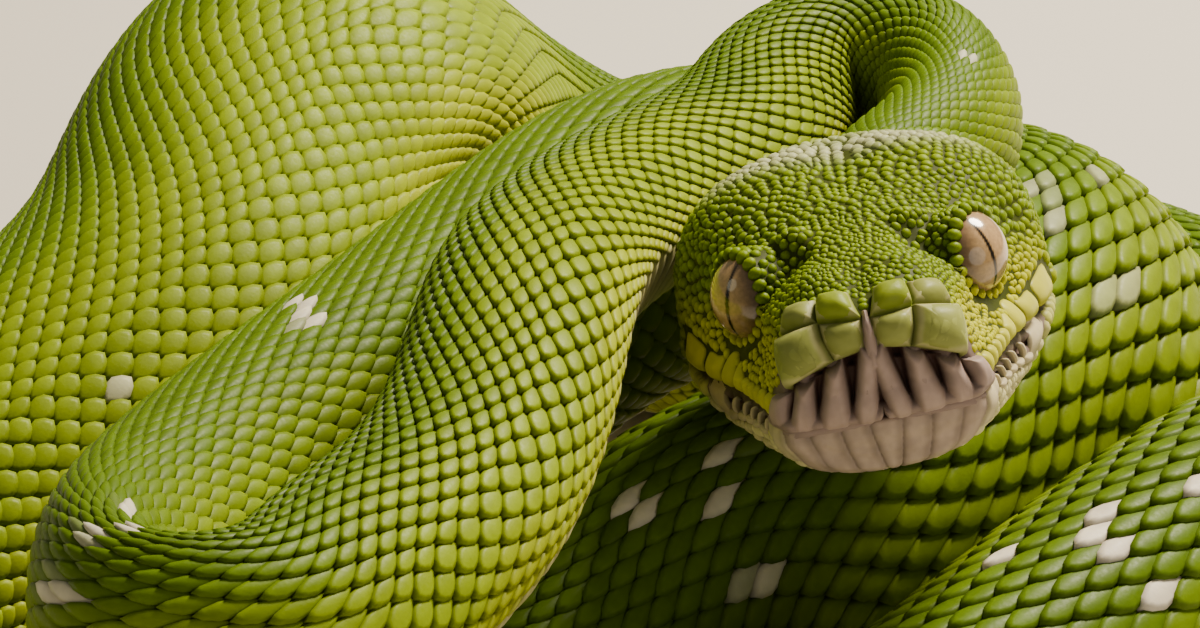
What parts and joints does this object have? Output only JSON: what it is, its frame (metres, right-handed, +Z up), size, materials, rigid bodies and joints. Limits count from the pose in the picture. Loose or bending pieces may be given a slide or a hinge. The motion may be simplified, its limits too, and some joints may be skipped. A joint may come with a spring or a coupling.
{
  "type": "coiled green tree python",
  "caption": "Life-size still model of a tree python at rest: body in stacked loose coils, head laid on top facing forward, tail curled round the side; stands on its own belly flats.",
  "frame": {"origin": "on the floor under the middle of the coils' bounding box", "axes": "+Z up, -Y towards the snout and the camera, +X to the left side of the animal's head"},
  "size_m": [0.2334, 0.2393, 0.0834],
  "materials": {
    "skin": "dry scaled skin with a low satin sheen, leaf green",
    "lip": "soft matt lip and chin scales, yellow-green to grey-pink",
    "eye": "wet glossy eye, cream iris with a thin upright slit"
  },
  "bodies": {
    "root": {"head": "skin", "lower_jaw": "lip", "eye_left": "eye", "eye_right": "eye", "neck_01": "skin", "neck_02": "skin", "trunk_01": "skin", "trunk_02": "skin", "trunk_03": "skin", "trunk_04": "skin", "trunk_05": "skin", "trunk_06": "skin", "trunk_07": "skin", "trunk_08": "skin", "trunk_09": "skin", "trunk_10": "skin", "trunk_11": "skin", "trunk_12": "skin", "trunk_13": "skin", "trunk_14": "skin", "trunk_15": "skin", "trunk_16": "skin", "trunk_17": "skin", "trunk_18": "skin", "trunk_19": "skin", "trunk_20": "skin", "trunk_21": "skin", "trunk_22": "skin", "trunk_23": "skin", "tail_01": "skin", "tail_02": "skin", "tail_03": "skin", "tail_04": "skin"}
  },
  "joints": []
}
